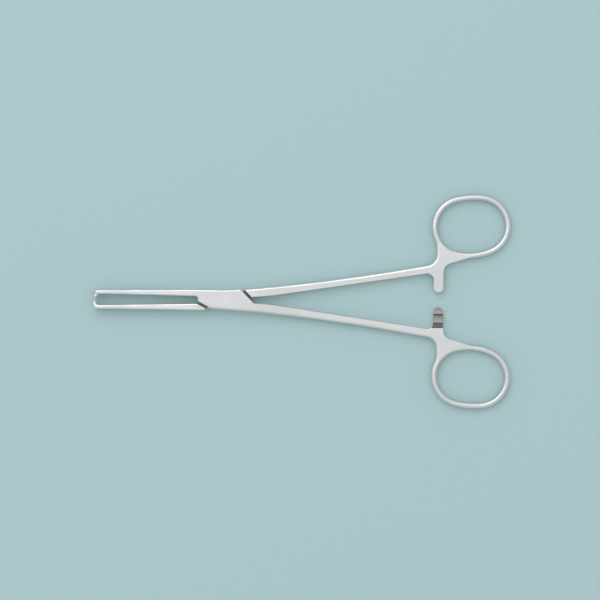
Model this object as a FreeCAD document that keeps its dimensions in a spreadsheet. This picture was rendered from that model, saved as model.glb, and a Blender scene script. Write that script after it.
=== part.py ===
"""Ring-handled, box-lock forceps with a ratchet and finely toothed, inturned jaw tips.

Two forged halves cross at a box lock and turn on one rivet. Units are millimetres.
X runs from the jaw tips to the finger rings, Y across the halves, Z up out of the flat
instrument. The rivet's axis is X = 0, Y = 0, and Z = 0 is the underside of the box.
The female half has the upper jaw (+Y), the slotted box and the lower handle (-Y).
The male half has the lower jaw, the thin tongue inside the box and the upper handle.
Both are drawn in the pose of rest: tips nearly shut, ratchet apart.
"""
import FreeCAD, Part
import math
import os
import re
import Sketcher

SIZES = {
    # Jaws: distances from the rivet axis and from the middle line
    "jaw_reach": 49.05,
    "male_jaw_extra": 0.3,
    "jaw_tip_outer": 3.5,
    "jaw_tip_inner": 2.0,
    "jaw_root_outer": 3.88,
    "jaw_root_inner": 1.25,
    "jaw_root_reach": 13.0,
    "male_jaw_heel": 9.0,
    "jaw_tip_round": 1.3,
    "jaw_edge_round": 0.55,
    # Inturned toothed lips at the tips
    "lip_thick": 0.8,
    "lip_end": 0.58,
    "lip_width": 3.9,
    "lip_overlap": 0.9,
    "lip_root_round": 1.2,
    "bite_pitch": 1.0,
    "bite_depth": 0.6,
    # Half thickness of the whole blank, then of each stretch once it is shaped
    "blank_half_deep": 4.0,
    "tip_half_deep": 2.5,
    "jaw_half_deep": 1.95,
    "box_half_deep": 2.5,
    "shank_half_deep": 1.55,
    "tip_flat": 3.2,
    "tip_flare": 8.5,
    "jaw_swell_start": 27.0,
    "jaw_swell_end": 13.0,
    "box_swell_start": 11.0,
    "box_swell_end": 27.0,
    "depth_round": 20.0,
    # Box plates
    "box_front": 10.8,
    "box_waist": 3.68,
    "box_waist_back": 1.0,
    "plate_round": 0.8,
    "waist_round": 45.0,
    "heel_round": 2.0,
    "rear_rim_round": 0.5,
    "shoulder_rim_round": 0.4,
    "crotch_round": 0.9,
    "front_notch_x": 10.75,
    "front_notch_y": 1.15,
    "front_notch_end_x": 5.9,
    "front_notch_end_y": 3.75,
    "rear_notch_x": 5.6,
    "rear_notch_y": 4.05,
    "rear_notch_end_x": 9.55,
    "rear_notch_end_y": 0.05,
    "shoulder_gap": 1.0,
    # Slot in the female box, and the tongue that crosses it
    "tongue_half_deep": 0.85,
    "slot_clearance": 0.04,
    "tongue_inset": 0.08,
    "slot_end_gap": 0.5,
    "front_wall_x": 10.15,
    "front_wall_y": 0.65,
    "front_wall_end_x": 5.2,
    "front_wall_end_y": 3.9,
    "rear_wall_x": 9.3,
    "rear_wall_y": 0.6,
    "rear_wall_end_x": 5.3,
    "rear_wall_end_y": 4.05,
    # Rivet
    "rivet_radius": 1.2,
    "rivet_head_radius": 1.65,
    "rivet_head_deep": 0.5,
    "rivet_clearance": 0.03,
    # Shanks, from the box to the web
    "shank_start_x": 10.0,
    "shank_start_outer": 4.4,
    "crotch_end_x": 10.3,
    "crotch_inner": 1.3,
    "shank_inner_bend_x": 14.6,
    "shank_inner_bend": 1.45,
    "first_bend_x": 30.0,
    "first_bend_outer": 6.55,
    "second_bend_x": 54.0,
    "second_bend_outer": 9.85,
    "shank_end_x": 79.0,
    "shank_end_outer": 14.2,
    "shank_end_inner": 11.05,
    "shank_start_round": 150.0,
    "bend_round": 600.0,
    "inner_bend_round": 60.0,
    "shank_edge_round": 0.9,
    # Web between shank, ring and ratchet bar, set out from the end of the shank
    "web_side_back": 1.55,
    "web_inside_out": 0.55,
    "web_ring_back": 3.8,
    "web_foot_ahead": 10.5,
    "web_foot_out": 2.0,
    "bar_root_back": 0.9,
    "web_round": 4.0,
    "ring_foot_round": 5.0,
    "bar_root_round": 2.5,
    "web_foot_round": 3.5,
    # Finger rings, set out from the end of the shank
    "ring_ahead": 11.3,
    "ring_out": 13.6,
    "ring_half_long": 12.6,
    "ring_half_wide": 9.75,
    "ring_near_round": 9.2,
    "ring_far_round": 9.5,
    "ring_wire": 2.0,
    "ring_tilt": 4.6,
    # Ratchet bars
    "bar_back": 2.5,
    "bar_width": 3.55,
    "male_bar_end": 3.35,
    "female_bar_end": 2.4,
    "bar_end_round": 1.7,
    "bar_crest": 0.3,
    "bar_floor": 0.5,
    "bar_cut_margin": 0.6,
    "ratchet_lead": 2.3,
    "ratchet_pitch": 3.2,
    "ratchet_root_y": 9.9,
}
RATCHET_RAMPS = 2
FEMALE_VALLEYS = 5
MALE_VALLEYS = 4

# Places that follow from the sizes
TIP_FLARE_START = "-(jaw_reach - tip_flat)"
TIP_FLARE_END = "-(jaw_reach - tip_flat - tip_flare)"
JAW_MIDDLE = "-(jaw_reach + jaw_swell_start) / 2"
RING_X = "(shank_end_x + ring_ahead)"
RING_Y = "(shank_end_outer + ring_out)"
WEB_SIDE = "(shank_end_x - web_side_back)"
WEB_RING = "(shank_end_outer + ring_out - web_ring_back)"
BAR_LEFT = "(shank_end_x - bar_back)"
BAR_RIGHT = "(shank_end_x - bar_back + bar_width)"
BAR_MIDDLE = "(shank_end_x - bar_back + bar_width / 2)"

# Limits that tell edges and faces apart
SAME_PLACE = 1e-6
SHORTEST_EDGE = 0.1
WALL_LEAN = 0.05
TOP_LEAN = 0.5

doc = FreeCAD.newDocument("forceps")
dims = doc.addObject("Spreadsheet::Sheet", "Dims")


def fill_sheet():
    """Write each driving size and its alias into the sheet."""
    for row, (name, value) in enumerate(SIZES.items(), start=1):
        dims.set("A%d" % row, name)
        dims.set("B%d" % row, str(value))
        dims.setAlias("B%d" % row, name)
    doc.recompute()


def number(formula):
    """Value of a formula in the sheet's own names."""
    result = dims.evalExpression(formula)
    return float(getattr(result, "Value", result))


def linked(formula):
    """The same formula with each name pointing at the sheet."""
    return re.sub(r"\b[a-z]\w*_\w+\b", lambda found: "Dims." + found.group(0), formula)


def bind(feature, prop, formula):
    feature.setExpression(prop, linked(formula))


def origin_plane(body, role):
    return next(item for item in body.Origin.OriginFeatures if item.Role == role)


def new_sketch(body, name, role, offset=None, tilt=None):
    """Empty sketch on one of the body's own planes, moved by offset and turned by tilt."""
    sketch = body.newObject("Sketcher::SketchObject", name)
    sketch.AttachmentSupport = [(origin_plane(body, role), "")]
    sketch.MapMode = "FlatFace"
    for axis, formula in (offset or {}).items():
        bind(sketch, "AttachmentOffset.Base." + axis, formula)
    if tilt:
        bind(sketch, "AttachmentOffset.Rotation.Angle", tilt)
    return sketch


def fix_point(sketch, index, position, formulas):
    """Hold one point of the sketch at its two formulas, measured from the origin."""
    for kind, formula in zip(("DistanceX", "DistanceY"), formulas):
        place = sketch.addConstraint(Sketcher.Constraint(kind, -1, 1, index, position, number(formula)))
        bind(sketch, "Constraints[%d]" % place, formula)


def fix_radius(sketch, index, formula):
    place = sketch.addConstraint(Sketcher.Constraint("Radius", index, number(formula)))
    bind(sketch, "Constraints[%d]" % place, formula)


def corner_arc(before, corner, after, radius):
    """Start, middle and end of the arc that rounds one corner of an outline."""
    back = (before - corner).normalize()
    ahead = (after - corner).normalize()
    half = back.getAngle(ahead) / 2
    inward = (back + ahead).normalize()
    centre = corner + inward * (radius / math.sin(half))
    reach = radius / math.tan(half)
    return corner + back * reach, centre - inward * radius, corner + ahead * reach


def closed_outline(sketch, corners):
    """Outline of straight sides through corners (x, y) or, rounded, (x, y, radius)."""
    count = len(corners)
    first = sketch.GeometryCount
    points = [FreeCAD.Vector(number(corner[0]), number(corner[1]), 0) for corner in corners]
    arcs = {}
    for place, corner in enumerate(corners):
        if len(corner) > 2:
            after = points[(place + 1) % count]
            arcs[place] = corner_arc(points[place - 1], points[place], after, number(corner[2]))
    for place, point in enumerate(points):
        after = (place + 1) % count
        side_start = arcs[place][2] if place in arcs else point
        side_end = arcs[after][0] if after in arcs else points[after]
        sketch.addGeometry(Part.LineSegment(side_start, side_end), False)
    for place, corner in enumerate(corners):
        before = first + (place - 1) % count
        side = first + place
        if place not in arcs:
            sketch.addConstraint(Sketcher.Constraint("Coincident", before, 2, side, 1))
            fix_point(sketch, side, 1, corner[:2])
            continue
        start, middle, end = arcs[place]
        turns_left = ((middle - start).cross(end - middle)).z > 0
        ends = (start, end) if turns_left else (end, start)
        arc = sketch.addGeometry(Part.Arc(ends[0], middle, ends[1]), False)
        sketch.addConstraint(Sketcher.Constraint("Tangent", before, 2, arc, 1 if turns_left else 2))
        sketch.addConstraint(Sketcher.Constraint("Tangent", side, 1, arc, 2 if turns_left else 1))
        fix_radius(sketch, arc, corner[2])
        vertex = sketch.addGeometry(Part.Point(points[place]), True)
        sketch.addConstraint(Sketcher.Constraint("PointOnObject", vertex, 1, before))
        sketch.addConstraint(Sketcher.Constraint("PointOnObject", vertex, 1, side))
        fix_point(sketch, vertex, 1, corner[:2])


def oval_half(half_long, half_wide, end_round):
    """Where the end arc and the flatter side arc of half an oval meet, and the side arc's radius."""
    reach = "(%s - %s)" % (half_long, end_round)
    side_round = "((%s ^ 2 + %s ^ 2 - %s ^ 2) / (2 * (%s - %s)))" % (
        reach, half_wide, end_round, half_wide, end_round)
    drop = "(%s - %s)" % (side_round, half_wide)
    share = "(%s / sqrt(%s ^ 2 + %s ^ 2))" % (end_round, reach, drop)
    return "(%s * (1 + %s))" % (reach, share), "(%s * %s)" % (drop, share), side_round


def oval_outline(sketch, half_long, half_wide, near_round, far_round):
    """Six tangent arcs: the near and far end arcs meet at each apex, and each side is one flatter arc."""
    near_x, near_y, near_side = oval_half(half_long, half_wide, near_round)
    far_x, far_y, far_side = oval_half(half_long, half_wide, far_round)
    stops = [
        (near_x, "-" + near_y, near_round),
        (half_long, "0", far_round),
        (far_x, far_y, far_side),
        ("-" + far_x, far_y, far_round),
        ("-" + half_long, "0", near_round),
        ("-" + near_x, "-" + near_y, near_side),
    ]
    count = len(stops)
    points = [FreeCAD.Vector(number(x), number(y), 0) for x, y, radius in stops]
    for place, stop in enumerate(stops):
        start, end = points[place], points[(place + 1) % count]
        radius = number(stop[2])
        chord = end - start
        outward = FreeCAD.Vector(chord.y, -chord.x, 0).normalize()
        bulge = radius - math.sqrt(radius ** 2 - (chord.Length / 2) ** 2)
        sketch.addGeometry(Part.Arc(start, (start + end) / 2 + outward * bulge, end), False)
    for place, (x, y, radius) in enumerate(stops):
        sketch.addConstraint(Sketcher.Constraint("Coincident", place, 2, (place + 1) % count, 1))
        fix_point(sketch, place, 1, (x, y))
        fix_radius(sketch, place, radius)


def push(body, name, kind, sketch, half_formula):
    """Pad or Pocket of a sketch, equally far to both sides of its plane."""
    feature = body.newObject("PartDesign::" + kind, name)
    feature.Profile = sketch
    feature.Midplane = True
    feature.Length = 2 * number(half_formula)
    bind(feature, "Length", "2 * (%s)" % half_formula)
    body.Tip = feature
    doc.recompute()
    return feature


def shaped(body, name, kind, role, corners, half_formula, offset=None):
    """One outline pushed to both sides of a plane."""
    sketch = new_sketch(body, name + "_outline", role, offset)
    closed_outline(sketch, corners)
    return push(body, name, kind, sketch, half_formula)


def patterned(body, name, feature, sketch, axis, count, pitch_formula):
    """Row of equal cuts along an axis of their sketch."""
    row = body.newObject("PartDesign::LinearPattern", name)
    row.Originals = [feature]
    row.Direction = (sketch, [axis])
    row.Occurrences = count
    row.Length = (count - 1) * number(pitch_formula)
    bind(row, "Length", "%d * (%s)" % (count - 1, pitch_formula))
    body.Tip = row
    doc.recompute()
    return row


def fillet(body, name, radius_formula, edge_names):
    """Fillet of named edges of the body's tip."""
    base = body.Tip
    feature = body.newObject("PartDesign::Fillet", name)
    feature.Base = (base, edge_names)
    feature.Radius = number(radius_formula)
    bind(feature, "Radius", radius_formula)
    body.Tip = feature
    doc.recompute()
    return feature


def plan_distance(point, x, y):
    return math.hypot(point.x - x, point.y - y)


def is_upright(edge):
    first, last = edge.Vertexes[0].Point, edge.Vertexes[-1].Point
    return plan_distance(first, last.x, last.y) < SAME_PLACE and abs(first.z - last.z) > SHORTEST_EDGE


def round_upright(body, name, radius_formula, places):
    """Round the upright edges that stand nearest to the given places in plan."""
    edges = body.Tip.Shape.Edges
    upright = [index for index, edge in enumerate(edges) if is_upright(edge)]
    names = set()
    for x_formula, y_formula in places:
        x, y = number(x_formula), number(y_formula)
        nearest = min(upright, key=lambda index: plan_distance(edges[index].Vertexes[0].Point, x, y))
        names.add("Edge%d" % (nearest + 1))
    return fillet(body, name, radius_formula, sorted(names))


def leans(face, point):
    """How far a face's normal leans up or down at a point, from 0 on a wall to 1 on a flat top."""
    return abs(face.normalAt(*face.Surface.parameter(point)).z)


def round_rims(body, name, radius_formula, places):
    """Round the top and bottom rims that pass nearest to the given places in plan.

    A fillet follows its rim as far as the rim stays smooth.
    """
    shape = body.Tip.Shape
    level = number("box_half_deep")
    rims = {level: [], -level: []}
    for index, edge in enumerate(shape.Edges, start=1):
        middle = edge.valueAt((edge.FirstParameter + edge.LastParameter) / 2)
        slopes = sorted(leans(face, middle) for face in shape.ancestorsOfType(edge, Part.Face))
        if len(slopes) == 2 and slopes[0] < WALL_LEAN and slopes[1] > TOP_LEAN:
            rims[math.copysign(level, middle.z)].append((index, edge))
    names = set()
    for x_formula, y_formula in places:
        for height, candidates in rims.items():
            mark = Part.Vertex(FreeCAD.Vector(number(x_formula), number(y_formula), height))
            nearest = min((edge.distToShape(mark)[0], index) for index, edge in candidates)
            names.add("Edge%d" % nearest[1])
    return fillet(body, name, radius_formula, sorted(names))


def new_half(name):
    body = doc.addObject("PartDesign::Body", name)
    body.Label = name
    return body


def mirrored(side, formula):
    """The formula itself on the upper side (1), its negative on the lower side (-1)."""
    return formula if side == 1 else "-(%s)" % formula


def on_side(side, corners):
    """The corners of an outline drawn for the upper side, on the side asked for."""
    return [(corner[0], mirrored(side, corner[1]), *corner[2:]) for corner in corners]


def shank_corners(side):
    """Corners of a shank, from its start at the box out to the web and back to the crotch."""
    return on_side(side, [
        ("shank_start_x", "shank_start_outer", "shank_start_round"),
        ("first_bend_x", "first_bend_outer", "bend_round"),
        ("second_bend_x", "second_bend_outer", "bend_round"),
        ("shank_end_x", "shank_end_outer"),
        ("shank_end_x", "shank_end_inner"),
        ("shank_inner_bend_x", "shank_inner_bend", "inner_bend_round"),
    ])


def push_ring(body, side, name, kind, wire):
    """Oval about the finger ring's centre, tilted away from the middle line and grown by wire."""
    centre = {"x": RING_X, "y": mirrored(side, RING_Y)}
    sketch = new_sketch(body, name + "_outline", "XY_Plane", centre, mirrored(side, "ring_tilt"))
    sizes = ["ring_half_long", "ring_half_wide"] + ["ring_near_round", "ring_far_round"][::side]
    oval_outline(sketch, *["(%s + %s)" % (size, wire) for size in sizes])
    push(body, name, kind, sketch, "blank_half_deep")


def add_handle_end(body, side, bar_end):
    """Finger ring, web and ratchet bar in one flowing outline with the shank."""
    inside = "shank_end_inner + web_inside_out"
    foot = "shank_end_x + web_foot_ahead"
    push_ring(body, side, "ring_disc", "Pad", "ring_wire")
    shaped(body, "web", "Pad", "XY_Plane", on_side(side, [
        (WEB_SIDE, WEB_RING),
        (WEB_SIDE, inside),
        (BAR_LEFT, inside),
        (BAR_LEFT, bar_end, "bar_end_round"),
        (BAR_RIGHT, bar_end, "bar_end_round"),
        (BAR_RIGHT, "shank_end_outer - bar_root_back", "web_foot_round"),
        (foot, "shank_end_outer + web_foot_out"),
        (foot, WEB_RING),
    ]), "blank_half_deep")
    push_ring(body, side, "finger_hole", "Pocket", "0")
    round_upright(body, "web_side_blend", "web_round", on_side(side, [(WEB_SIDE, "shank_end_outer")]))
    round_upright(body, "bar_root_blend", "bar_root_round", on_side(side, [(BAR_LEFT, "shank_end_inner")]))
    round_upright(body, "ring_side_blend", "ring_foot_round", on_side(side, [(WEB_SIDE, WEB_RING)]))


def shape_depth(body):
    """Cut the blank to its depth along the instrument, above and below."""
    sketch = new_sketch(body, "depth_outline", "XZ_Plane")
    beyond = "(%s + 2 * ring_half_long)" % RING_X
    before = "-(jaw_reach + ring_half_long)"
    above = "(2 * blank_half_deep)"
    profile = [
        (before, "tip_half_deep"),
        (TIP_FLARE_START, "tip_half_deep", "depth_round"),
        (TIP_FLARE_END, "jaw_half_deep", "depth_round"),
        ("-jaw_swell_start", "jaw_half_deep", "depth_round"),
        ("-jaw_swell_end", "box_half_deep", "depth_round"),
        ("box_swell_start", "box_half_deep", "depth_round"),
        ("box_swell_end", "shank_half_deep", "depth_round"),
        (beyond, "shank_half_deep"),
        (beyond, above),
        (before, above),
    ]
    closed_outline(sketch, profile)
    closed_outline(sketch, on_side(-1, profile))
    push(body, "depth", "Pocket", sketch, "2 * %s" % RING_Y)


def add_lip(body, side, tip_reach):
    """Inturned lip across the jaw's tip."""
    front = "-(%s)" % tip_reach
    back = "lip_thick - (%s)" % tip_reach
    overlap = "jaw_tip_inner + lip_overlap"
    shaped(body, "lip", "Pad", "XY_Plane", on_side(side, [
        (front, "lip_end"),
        (front, overlap),
        (back, overlap),
        (back, "lip_end"),
    ]), "lip_width / 2")
    round_upright(body, "lip_blend", "lip_root_round", on_side(side, [(back, "jaw_tip_inner")]))


def cut_bite(body, side, tip_reach, valleys):
    """Row of V-shaped valleys that leave the tip's teeth standing."""
    lowest = "-(%d * bite_pitch / 2)" % (valleys - 1)
    sketch = new_sketch(body, "bite_outline", "YZ_Plane", {"z": "-(%s)" % tip_reach})
    closed_outline(sketch, [
        (mirrored(side, "lip_end + bite_depth"), lowest),
        (mirrored(side, "lip_end - bite_depth"), lowest + " - bite_pitch"),
        (mirrored(side, "lip_end - bite_depth"), lowest + " + bite_pitch"),
    ])
    cut = push(body, "bite_valley", "Pocket", sketch, "2 * lip_thick")
    patterned(body, "bite_teeth", cut, sketch, "V_Axis", valleys, "bite_pitch")


def cut_ratchet(body, side, bar_end):
    """Sawtooth ramps on one face of the bar, each steep face towards its own handle.

    The lower handle's bar has its teeth on top, the upper handle's bar underneath.
    """
    middle = {"z": BAR_MIDDLE}
    half_cut = "bar_width / 2 + bar_cut_margin"
    crest = "(%s + ratchet_lead)" % bar_end
    last_crest = "(%s + %d * ratchet_pitch)" % (crest, RATCHET_RAMPS - 1)

    def facing(corners):
        return [(mirrored(side, y), mirrored(-side, z)) for y, z in corners]

    sketch = new_sketch(body, "ratchet_outline", "YZ_Plane", middle)
    closed_outline(sketch, facing([
        (crest + " - ratchet_pitch", "-bar_floor"),
        (crest, "bar_crest"),
        (crest, "blank_half_deep"),
        (crest + " - ratchet_pitch", "blank_half_deep"),
    ]))
    cut = push(body, "ratchet_ramp", "Pocket", sketch, half_cut)
    row = patterned(body, "ratchet_teeth", cut, sketch, "H_Axis", RATCHET_RAMPS, "ratchet_pitch")
    row.Reversed = side == -1
    doc.recompute()
    shaped(body, "ratchet_root", "Pocket", "YZ_Plane", facing([
        (last_crest, "-bar_floor"),
        ("ratchet_root_y", "-bar_floor"),
        ("ratchet_root_y", "blank_half_deep"),
        (last_crest, "blank_half_deep"),
    ]), half_cut, middle)


def rivet_corners():
    """Half section of the rivet, head to head, its heads ground flush with the plates."""
    return [
        ("0", "-box_half_deep"),
        ("rivet_head_radius", "-box_half_deep"),
        ("rivet_radius", "rivet_head_deep - box_half_deep"),
        ("rivet_radius", "box_half_deep - rivet_head_deep"),
        ("rivet_head_radius", "box_half_deep"),
        ("0", "box_half_deep"),
    ]


def turned(body, name, kind, corners):
    """Outline turned about the rivet's axis."""
    sketch = new_sketch(body, name + "_outline", "XZ_Plane")
    closed_outline(sketch, corners)
    feature = body.newObject("PartDesign::" + kind, name)
    feature.Profile = sketch
    feature.ReferenceAxis = (sketch, ["V_Axis"])
    feature.Angle = 360
    body.Tip = feature
    doc.recompute()
    return feature


def past(end, start):
    """Place as far past the end of a line as the line is long."""
    return tuple("2 * (%s) - (%s)" % (far, near) for far, near in zip(end, start))


def between(start, end):
    return tuple("((%s) + (%s)) / 2" % pair for pair in zip(start, end))


def band(first, second):
    """Outline between two lines, each given as (start, end) and drawn out past both of its ends."""
    return [
        past(first[0], first[1]),
        past(first[1], first[0]),
        past(second[1], second[0]),
        past(second[0], second[1]),
    ]


def make_female_half():
    """Upper jaw, slotted box and lower handle."""
    body = new_half("female_half")
    front_rim = (
        ("-box_front", "shoulder_gap / 2 - front_notch_y"),
        ("-front_notch_end_x", "shoulder_gap / 2 - front_notch_end_y"),
    )
    rear_rim = (("rear_notch_x - shoulder_gap / 2", "rear_notch_y"), ("crotch_end_x", "-crotch_inner"))
    shaped(body, "blade", "Pad", "XY_Plane", [
        ("-jaw_reach", "jaw_tip_outer", "jaw_tip_round"),
        ("-jaw_reach", "jaw_tip_inner"),
        ("-box_front", "jaw_root_inner", "crotch_round"),
        (*front_rim[0], "plate_round"),
        front_rim[1],
        *shank_corners(-1),
        rear_rim[1],
        rear_rim[0],
        ("-box_waist_back", "box_waist", "waist_round"),
        ("-jaw_root_reach", "jaw_root_outer", "waist_round"),
    ], "blank_half_deep")
    add_handle_end(body, -1, "female_bar_end")
    shape_depth(body)
    round_rims(body, "handle_rounding", "shank_edge_round", [
        ("second_bend_x", "-second_bend_outer"),
        (RING_X, "-(%s + ring_half_wide)" % RING_Y),
    ])
    round_rims(body, "jaw_rounding", "jaw_edge_round", [
        (JAW_MIDDLE, "jaw_tip_outer"),
        (JAW_MIDDLE, "jaw_tip_inner"),
    ])
    round_rims(body, "rear_rim_rounding", "rear_rim_round", [between(*rear_rim)])
    front_wall = (("-front_wall_x", "-front_wall_y"), ("-front_wall_end_x", "front_wall_end_y"))
    rear_wall = (("rear_wall_x", "-rear_wall_y"), ("rear_wall_end_x", "-rear_wall_end_y"))
    slot = band(front_wall, rear_wall[::-1])
    shaped(body, "slot", "Pocket", "XY_Plane", slot, "tongue_half_deep + slot_clearance")
    turned(body, "rivet_seat", "Groove", rivet_corners())
    add_lip(body, 1, "jaw_reach")
    cut_bite(body, 1, "jaw_reach", FEMALE_VALLEYS)
    cut_ratchet(body, -1, "female_bar_end")
    return body


def make_male_half():
    """Lower jaw, tongue through the box and upper handle."""
    body = new_half("male_half")
    tip_reach = "(jaw_reach + male_jaw_extra)"
    tongue_top = "box_waist - tongue_inset"
    shaped(body, "blade", "Pad", "XY_Plane", [
        ("-" + tip_reach, "-jaw_tip_outer", "jaw_tip_round"),
        ("-" + tip_reach, "-jaw_tip_inner"),
        ("slot_end_gap - front_wall_x", "-jaw_root_inner"),
        ("slot_end_gap - front_wall_end_x", tongue_top),
        ("-box_waist_back", tongue_top),
        *shank_corners(1),
        ("rear_notch_end_x", "crotch_inner"),
        ("rear_wall_x - slot_end_gap", "-rear_wall_y"),
        ("rear_wall_end_x - slot_end_gap", "tongue_inset - rear_wall_end_y"),
        ("-front_notch_end_x", "shoulder_gap / 2 + tongue_inset - front_notch_end_y"),
        ("-male_jaw_heel", "-jaw_root_outer", "heel_round"),
    ], "blank_half_deep")
    add_handle_end(body, 1, "male_bar_end")
    shape_depth(body)
    round_rims(body, "handle_rounding", "shank_edge_round", [
        ("second_bend_x", "second_bend_outer"),
        (RING_X, "%s + ring_half_wide" % RING_Y),
    ])
    round_rims(body, "jaw_rounding", "jaw_edge_round", [
        (JAW_MIDDLE, "-jaw_tip_outer"),
        (JAW_MIDDLE, "-jaw_tip_inner"),
    ])
    front_shoulder = (
        ("-front_notch_x", "-front_notch_y - shoulder_gap / 2"),
        ("-front_notch_end_x", "-front_notch_end_y - shoulder_gap / 2"),
    )
    rear_shoulder = (
        ("rear_notch_x + shoulder_gap / 2", "rear_notch_y"),
        ("rear_notch_end_x + shoulder_gap / 2", "rear_notch_end_y"),
    )
    cheeks = band(front_shoulder, rear_shoulder)
    level = "(tongue_half_deep + blank_half_deep)"
    shaped(body, "upper_cheek", "Pocket", "XY_Plane", cheeks, "blank_half_deep", {"z": level})
    shaped(body, "lower_cheek", "Pocket", "XY_Plane", cheeks, "blank_half_deep", {"z": "-" + level})
    round_rims(body, "shoulder_rounding", "shoulder_rim_round", [between(*rear_shoulder)])
    turned(body, "tongue_bore", "Groove", [
        ("0", "-box_half_deep"),
        ("rivet_radius + rivet_clearance", "-box_half_deep"),
        ("rivet_radius + rivet_clearance", "box_half_deep"),
        ("0", "box_half_deep"),
    ])
    add_lip(body, -1, tip_reach)
    cut_bite(body, -1, tip_reach, MALE_VALLEYS)
    cut_ratchet(body, 1, "male_bar_end")
    return body


def make_hinge_pin():
    body = new_half("hinge_pin")
    turned(body, "rivet", "Revolution", rivet_corners())
    return body


def check(body):
    """Stop when a feature has failed or a body is no single sound solid."""
    for feature in doc.Objects:
        if {"Invalid", "Error"} & set(feature.State):
            raise ValueError("%s: %s" % (feature.Name, feature.State))
    shape = body.Shape
    if shape.isNull() or not shape.isValid() or len(shape.Solids) != 1:
        raise ValueError(body.Label + " is not one valid solid")


fill_sheet()
os.makedirs("parts", exist_ok=True)
for make in (make_female_half, make_male_half, make_hinge_pin):
    piece = make()
    bind(piece, "Placement.Base.z", "box_half_deep")
    doc.recompute()
    check(piece)
    piece.Shape.exportStep(os.path.join("parts", piece.Label + ".step"))
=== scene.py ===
"""Satin steel forceps lying on a pale floor, seen from straight above.

Lengths are metres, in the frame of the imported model: X runs from the jaws to the
finger rings, Y across the handles and Z up from the underside of the box lock.
"""

import math
from functools import partial

import bpy
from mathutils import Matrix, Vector

MM = 0.001

# Camera, from the photograph: its scale, its width, and where its middle lies on the model
PIXEL = 0.3705 * MM
PIXELS_WIDE = 600
FRAME_WIDTH = PIXELS_WIDE * PIXEL
FRAME_MIDDLE = (27.05 * MM, 0.18 * MM)
CAMERA_ROLL = math.radians(0.35)
LENS_MM = 135.0
SENSOR_MM = 36.0

# Thickness of the box lock, and the middle plane of the flat instrument
TOP_OF_BOX = 5.0 * MM
MIDDLE_Z = TOP_OF_BOX / 2

# Resting contact: the box's rear edge at one end, the undersides of the finger rings at the other
BOX_REAR_EDGE = 11.0 * MM
RING_CONTACT_X = 103.0 * MM
RING_UNDERSIDE = 0.95 * MM

# Polishing lines turn round the finger rings from here on, about each ring's centre
RING_X = 90.3 * MM
RING_Y = 27.8 * MM
RING_GRAIN_RADIUS = 12.0 * MM
GRAIN_TURNS_FROM = 76.0 * MM
GRAIN_TURNS_TO = 80.0 * MM

# Noise patterns in the steel: cells a metre, detail and roughness
LINES_NOISE = (5200.0, 4.0, 0.6)
BROAD_LINES_NOISE = (1300.0, 3.0, 0.55)
BLASTING_NOISE = (9000.0, 2.0, 0.6)
HANDLING_NOISE = (95.0, 4.0, 0.55)

# How far the grain is squeezed, so that its cells draw out into lines
LINES_SQUEEZE = 0.04
BROAD_LINES_SQUEEZE = 0.08

# Noise values at which each pattern begins to show and is full
HANDLING_TINT_SPAN = (0.35, 0.7)
HANDLING_GLOSS_SPAN = (0.3, 0.7)
LINES_SPAN = (0.35, 0.65)
BROAD_LINES_SPAN = (0.4, 0.75)
STREAKS_SPAN = (0.3, 0.7)

# Colours, and how strongly each pattern tints the steel
STEEL = (0.82, 0.84, 0.842)
HANDLED_LEVEL = 0.93
BROAD_LINES_LEVEL = 0.86
BROAD_LINES_SHARE = 0.35
# Rubbed edges are painted lighter: a painted highlight on top of their real wear
WORN_SHEEN_LEVEL = 1.04
WORN_SHEEN_SHARE = 0.7
# Ratchet teeth: milled steel painted dark with painted shade, darkest at the tooth feet
MILLED_SHADE_CREST = (0.36, 0.35, 0.345)
MILLED_SHADE_FOOT = (0.20, 0.186, 0.183)
# Painted shade for the hollows, and how fully it covers them
HOLLOW_SHADE = (0.15, 0.136, 0.128)
HOLLOW_SHADE_COVER = 0.92

# Roughness of clean and of handled steel, and what each pattern adds or takes away
CLEAN_ROUGHNESS = 0.27
HANDLED_ROUGHNESS = 0.36
LINES_ROUGHNESS = (-0.03, 0.05)
WORN_SMOOTHER = 0.03
MILLED_ROUGHER = 0.15
HOLLOW_ROUGHER = 0.3
ANISOTROPY = 0.25

# Relief of the finish, too fine to be modelled
LINES_RELIEF = 0.6
BLASTING_RELIEF = 0.4
RELIEF_STRENGTH = 0.35
RELIEF_DEPTH = 0.012 * MM

# Softened edges: their radius, and the cosines of turn at which wear begins and is full
EDGE_RADIUS = 0.22 * MM
EDGE_TURN_SPAN = (0.995, 0.90)

# Rivet ground flush: no edge shows this near its axis
RIVET_CALM_RADIUS = 2.2 * MM
RIVET_CALM_END = RIVET_CALM_RADIUS + 0.2 * MM

# Milled ratchet faces: reach along X, to both sides of the middle line, and above the middle plane
RATCHET_X = (76.3 * MM, 80.3 * MM)
RATCHET_Y = 9.95 * MM
RATCHET_CREST = 0.3 * MM
RATCHET_FLOOR = -0.5 * MM
RATCHET_LEAN_SPAN = (0.2, 0.5)
SOFT_LIMIT = 0.1 * MM

# Painted shade in the hollows: reach of the hollows, openness at which it begins and is full, the
# play that streaks give it, and its limits behind the jaws and above the floor
CREVICE_REACH = 1.5 * MM
CREVICE_OPENNESS_SPAN = (0.82, 0.38)
STREAK_PLAY = 0.06
CREVICE_X = (-18.0 * MM, -14.0 * MM)
CREVICE_Z = (1.0 * MM, 1.6 * MM)

# Rays that Blender casts for soft edges and for hollows
EDGE_RAYS = 6
HOLLOW_RAYS = 8

# Floor, sky and softbox
FLOOR_SIZE = 6.0
FLOOR_COLOUR = (0.49, 0.68, 0.70)
FLOOR_ROUGHNESS = 0.85
FLOOR_SPECULAR = 0.2
SKY_TOP = 0.72
SKY_RIM = 0.52
SKY_TOP_FROM = 0.85
KEY_PLACE = (-0.26, 0.58, 1.06)
KEY_SIZE = 0.95
KEY_POWER = 3.4


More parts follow.
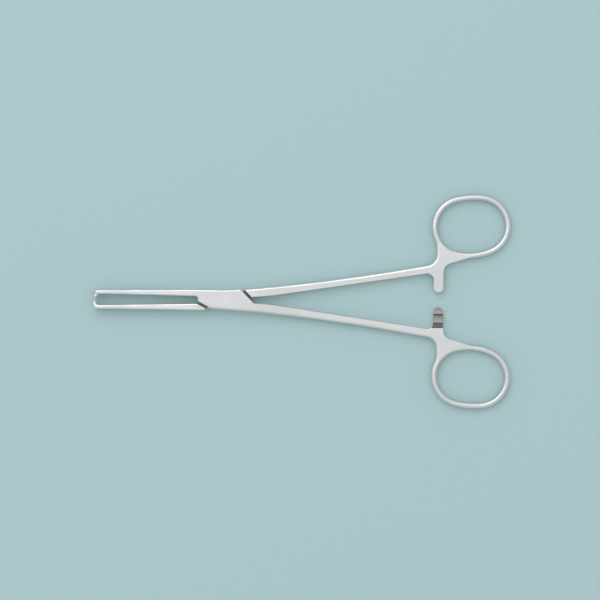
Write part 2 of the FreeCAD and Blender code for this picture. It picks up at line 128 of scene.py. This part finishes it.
class Graph:
    """Short calls for building one tree's nodes."""

    def __init__(self, tree):
        self.tree = tree

    def node(self, kind, **settings):
        node = self.tree.nodes.new("ShaderNode" + kind)
        for name, value in settings.items():
            setattr(node, name, value)
        return node

    def feed(self, socket, value):
        """Link a socket to another one, or give it a plain value."""
        if isinstance(value, bpy.types.NodeSocket):
            self.tree.links.new(value, socket)
        else:
            socket.default_value = value

    def math(self, operation, first, second=0.0):
        node = self.node("Math", operation=operation)
        self.feed(node.inputs[0], first)
        self.feed(node.inputs[1], second)
        return node.outputs[0]

    def times(self, *values):
        result = values[0]
        for value in values[1:]:
            result = self.math("MULTIPLY", result, value)
        return result

    def spread(self, value, low, high, to_low=0.0, to_high=1.0):
        """A smooth step from to_low at low to to_high at high."""
        node = self.node("MapRange", interpolation_type="SMOOTHSTEP")
        for socket, item in zip(node.inputs, (value, low, high, to_low, to_high)):
            self.feed(socket, item)
        return node.outputs[0]

    def noise(self, vector, scale, detail, roughness):
        node = self.node("TexNoise")
        self.feed(node.inputs["Vector"], vector)
        node.inputs["Scale"].default_value = scale
        node.inputs["Detail"].default_value = detail
        node.inputs["Roughness"].default_value = roughness
        return node.outputs["Fac"]

    def vector(self, x, y, z):
        node = self.node("CombineXYZ")
        for socket, value in zip(node.inputs, (x, y, z)):
            self.feed(socket, value)
        return node.outputs[0]

    def axes(self, vector):
        node = self.node("SeparateXYZ")
        self.feed(node.inputs[0], vector)
        return [node.outputs[axis] for axis in "XYZ"]

    def distance(self, x, y):
        return self.math("SQRT", self.math("ADD", self.times(x, x), self.times(y, y)))

    def blend(self, share, first, second):
        """Two vectors mixed by share."""
        node = self.node("Mix", data_type="VECTOR")
        sockets = {socket.identifier: socket for socket in (*node.inputs, *node.outputs)}
        for name, value in zip(("Factor_Float", "A_Vector", "B_Vector"), (share, first, second)):
            self.feed(sockets[name], value)
        return sockets["Result_Vector"]

    def mix(self, share, first, second):
        """Two colours mixed by share."""
        node = self.node("Mix", data_type="RGBA")
        self.feed(node.inputs["Factor"], share)
        self.feed(node.inputs["A"], first)
        self.feed(node.inputs["B"], second)
        return node.outputs["Result"]


def shade(tint, level=1.0):
    """A tint made lighter or darker, as a colour socket takes it."""
    return tuple(channel * level for channel in tint) + (1.0,)


def turned_grain(graph, across_x, across_y, z, radius):
    """Coordinates about an upright axis: the way round at this radius, the way out, and Z."""
    turn = graph.times(graph.math("ARCTAN2", across_y, across_x), radius)
    return graph.vector(turn, graph.distance(across_x, across_y), z)


def forging_grain(graph, place, side):
    """Coordinates whose first axis follows the metal: X on jaws and shanks, round on the ring.

    Side is 1 for the half whose ring lies at +Y and -1 for the other.
    """
    x, y, z = graph.axes(place)
    across_x = graph.math("SUBTRACT", x, RING_X)
    across_y = graph.math("SUBTRACT", y, RING_Y * side)
    around = turned_grain(graph, across_x, across_y, z, RING_GRAIN_RADIUS)
    return graph.blend(graph.spread(x, GRAIN_TURNS_FROM, GRAIN_TURNS_TO), place, around)


def rivet_grain(graph, place):
    """Coordinates that turn about the rivet's axis, as its ground heads are finished."""
    return turned_grain(graph, *graph.axes(place), RIVET_CALM_RADIUS)


def squeezed(graph, vector, along):
    """Coordinates squeezed along the grain, their first axis."""
    node = graph.node("Mapping")
    graph.feed(node.inputs["Vector"], vector)
    node.inputs["Scale"].default_value = (along, 1.0, 1.0)
    return node.outputs[0]


def soft_edges(graph, place):
    """1 on edges rubbed by handling, which the steel also paints lighter as a painted highlight, 0
    on the flats, and the normal of softened edges.

    Both leave out the rivet, whose heads run level into the plates.
    """
    bevel = graph.node("Bevel", samples=EDGE_RAYS)
    bevel.inputs["Radius"].default_value = EDGE_RADIUS
    face_normal = graph.node("NewGeometry").outputs["Normal"]
    turn = graph.node("VectorMath", operation="DOT_PRODUCT")
    graph.feed(turn.inputs[0], bevel.outputs["Normal"])
    graph.feed(turn.inputs[1], face_normal)
    x, y, _ = graph.axes(place)
    clear_of_rivet = graph.spread(graph.distance(x, y), RIVET_CALM_RADIUS, RIVET_CALM_END)
    worn_and_sheen = graph.times(graph.spread(turn.outputs["Value"], *EDGE_TURN_SPAN), clear_of_rivet)
    return worn_and_sheen, graph.blend(clear_of_rivet, face_normal, bevel.outputs["Normal"])


def milled_teeth(graph, place):
    """1 on the ratchet's milled teeth, and their height above the middle plane.

    The teeth face up on one bar and down on the other, so the face's own lean gives the way up.
    """
    x, y, z = graph.axes(place)
    _, _, lean = graph.axes(graph.node("NewGeometry").outputs["Normal"])
    height = graph.times(graph.math("SUBTRACT", z, MIDDLE_Z), graph.math("SIGN", lean))
    share = graph.times(
        graph.spread(x, RATCHET_X[0] - SOFT_LIMIT, RATCHET_X[0]),
        graph.spread(x, RATCHET_X[1] + SOFT_LIMIT, RATCHET_X[1]),
        graph.spread(graph.math("ABSOLUTE", y), RATCHET_Y + SOFT_LIMIT, RATCHET_Y),
        graph.spread(height, RATCHET_CREST + 2 * SOFT_LIMIT, RATCHET_CREST + SOFT_LIMIT),
        graph.spread(height, RATCHET_FLOOR - 2 * SOFT_LIMIT, RATCHET_FLOOR - SOFT_LIMIT),
        graph.spread(graph.math("ABSOLUTE", lean), *RATCHET_LEAN_SPAN),
    )
    return share, height


def crevice_shade(graph, place, streaks):
    """1 deep in the gaps of the box lock and at the feet of the teeth, where shade is painted, 0
    in the open.
    """
    hollow = graph.node("AmbientOcclusion", samples=HOLLOW_RAYS)
    hollow.inputs["Distance"].default_value = CREVICE_REACH
    play = graph.spread(streaks, *STREAKS_SPAN, -STREAK_PLAY, STREAK_PLAY)
    openness = graph.math("ADD", hollow.outputs["AO"], play)
    x, _, z = graph.axes(place)
    return graph.times(
        graph.spread(openness, *CREVICE_OPENNESS_SPAN),
        graph.spread(x, *CREVICE_X),
        graph.spread(z, *CREVICE_Z),
    )


def satin_steel(name, grain_of):
    """Satin stainless steel with polishing lines, edges rubbed by handling and painted lighter as
    a highlight, and painted shade on the ratchet teeth and in the hollows.
    """
    material = bpy.data.materials.new(name)
    material.use_nodes = True
    material.node_tree.nodes.clear()
    graph = Graph(material.node_tree)

    place = graph.node("TexCoord").outputs["Object"]
    grain = grain_of(graph, place)
    lines = graph.noise(squeezed(graph, grain, LINES_SQUEEZE), *LINES_NOISE)
    broad_lines = graph.noise(squeezed(graph, grain, BROAD_LINES_SQUEEZE), *BROAD_LINES_NOISE)
    blasting = graph.noise(place, *BLASTING_NOISE)
    handling = graph.noise(place, *HANDLING_NOISE)
    worn_and_sheen, soft_normal = soft_edges(graph, place)
    milled, tooth_height = milled_teeth(graph, place)
    hollow_shade = crevice_shade(graph, place, broad_lines)

    handled = graph.spread(handling, *HANDLING_TINT_SPAN)
    colour = graph.mix(handled, shade(STEEL), shade(STEEL, HANDLED_LEVEL))
    lined = graph.spread(broad_lines, *BROAD_LINES_SPAN, 0.0, BROAD_LINES_SHARE)
    colour = graph.mix(lined, colour, shade(STEEL, BROAD_LINES_LEVEL))
    # Rubbed edges painted lighter: a painted highlight on top of their real wear
    colour = graph.mix(graph.times(worn_and_sheen, WORN_SHEEN_SHARE), colour, shade(STEEL, WORN_SHEEN_LEVEL))
    # Painted shade on the ratchet teeth, darker towards their feet, over their milled finish
    shade_by_height = graph.spread(tooth_height, RATCHET_FLOOR, RATCHET_CREST)
    teeth = graph.mix(shade_by_height, shade(MILLED_SHADE_FOOT), shade(MILLED_SHADE_CREST))
    colour = graph.mix(milled, colour, teeth)
    # Painted shade in the gaps of the box lock and at the feet of the teeth
    colour = graph.mix(graph.times(hollow_shade, HOLLOW_SHADE_COVER), colour, shade(HOLLOW_SHADE))

    roughness = graph.spread(handling, *HANDLING_GLOSS_SPAN, CLEAN_ROUGHNESS, HANDLED_ROUGHNESS)
    for change in (
        graph.spread(lines, *LINES_SPAN, *LINES_ROUGHNESS),
        graph.times(worn_and_sheen, -WORN_SMOOTHER),
        graph.times(milled, MILLED_ROUGHER),
        graph.times(hollow_shade, HOLLOW_ROUGHER),
    ):
        roughness = graph.math("ADD", roughness, change)

    bump = graph.node("Bump")
    bump.inputs["Strength"].default_value = RELIEF_STRENGTH
    bump.inputs["Distance"].default_value = RELIEF_DEPTH
    relief = graph.math(
        "ADD", graph.times(lines, LINES_RELIEF), graph.times(blasting, BLASTING_RELIEF))
    graph.feed(bump.inputs["Height"], relief)
    graph.feed(bump.inputs["Normal"], soft_normal)

    shader = graph.node("BsdfPrincipled")
    shader.inputs["Metallic"].default_value = 1.0
    shader.inputs["Anisotropic"].default_value = ANISOTROPY
    graph.feed(shader.inputs["Base Color"], colour)
    graph.feed(shader.inputs["Roughness"], roughness)
    graph.feed(shader.inputs["Normal"], bump.outputs["Normal"])
    output = graph.node("OutputMaterial")
    graph.feed(output.inputs["Surface"], shader.outputs["BSDF"])
    return material


def dress(node_name, material):
    """Give every face of a node one material."""
    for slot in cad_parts[node_name].material_slots:
        slot.material = material


def make_floor():
    """Pale floor, tipped by the half degree at which the instrument rests on it."""
    slope = math.atan2(RING_UNDERSIDE, RING_CONTACT_X - BOX_REAR_EDGE)
    bpy.ops.mesh.primitive_plane_add(
        size=FLOOR_SIZE, location=(BOX_REAR_EDGE, 0.0, 0.0), rotation=(0.0, -slope, 0.0))
    floor = bpy.context.object
    floor.name = "floor"
    material = bpy.data.materials.new("pale_floor")
    material.use_nodes = True
    shader = material.node_tree.nodes["Principled BSDF"]
    shader.inputs["Base Color"].default_value = shade(FLOOR_COLOUR)
    shader.inputs["Roughness"].default_value = FLOOR_ROUGHNESS
    shader.inputs["Specular IOR Level"].default_value = FLOOR_SPECULAR
    floor.data.materials.append(material)


def make_world():
    """Even white light from above that falls off a little towards the horizon."""
    world = bpy.data.worlds.new("studio")
    bpy.context.scene.world = world
    world.use_nodes = True
    graph = Graph(world.node_tree)
    _, _, height = graph.axes(graph.node("TexCoord").outputs["Generated"])
    level = graph.spread(height, 0.0, SKY_TOP_FROM, SKY_RIM, SKY_TOP)
    background = world.node_tree.nodes["Background"]
    graph.feed(background.inputs["Color"], graph.vector(level, level, level))


def make_key_light():
    """Square softbox over the picture's upper left that faces its middle."""
    light = bpy.data.lights.new("key", "AREA")
    light.shape = "SQUARE"
    light.size = KEY_SIZE
    light.energy = KEY_POWER
    lamp = bpy.data.objects.new("key", light)
    lamp.location = KEY_PLACE
    aim = Vector((*FRAME_MIDDLE, 0.0)) - Vector(KEY_PLACE)
    lamp.rotation_euler = aim.to_track_quat("-Z", "Y").to_euler()
    bpy.context.collection.objects.link(lamp)


def make_camera():
    """Straight down, turned by the photograph's slight tilt in its own plane."""
    data = bpy.data.cameras.new("camera")
    data.lens = LENS_MM
    data.sensor_width = SENSOR_MM
    camera = bpy.data.objects.new("camera", data)
    distance = FRAME_WIDTH * LENS_MM / SENSOR_MM
    camera.location = (*FRAME_MIDDLE, MIDDLE_Z + distance)
    camera.rotation_euler = (0.0, 0.0, CAMERA_ROLL)
    bpy.context.collection.objects.link(camera)
    bpy.context.scene.camera = camera


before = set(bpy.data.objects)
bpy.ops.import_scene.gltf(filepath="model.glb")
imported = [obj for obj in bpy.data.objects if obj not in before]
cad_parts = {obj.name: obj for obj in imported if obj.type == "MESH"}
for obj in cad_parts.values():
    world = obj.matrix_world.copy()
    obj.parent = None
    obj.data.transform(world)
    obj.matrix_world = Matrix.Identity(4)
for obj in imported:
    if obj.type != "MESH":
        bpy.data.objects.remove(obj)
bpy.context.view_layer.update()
bpy.context.scene.view_settings.view_transform = "Standard"

dress("female_half", satin_steel("female_steel", partial(forging_grain, side=-1)))
dress("male_half", satin_steel("male_steel", partial(forging_grain, side=1)))
dress("hinge_pin", satin_steel("pin_steel", rivet_grain))
make_floor()
make_world()
make_key_light()
make_camera()
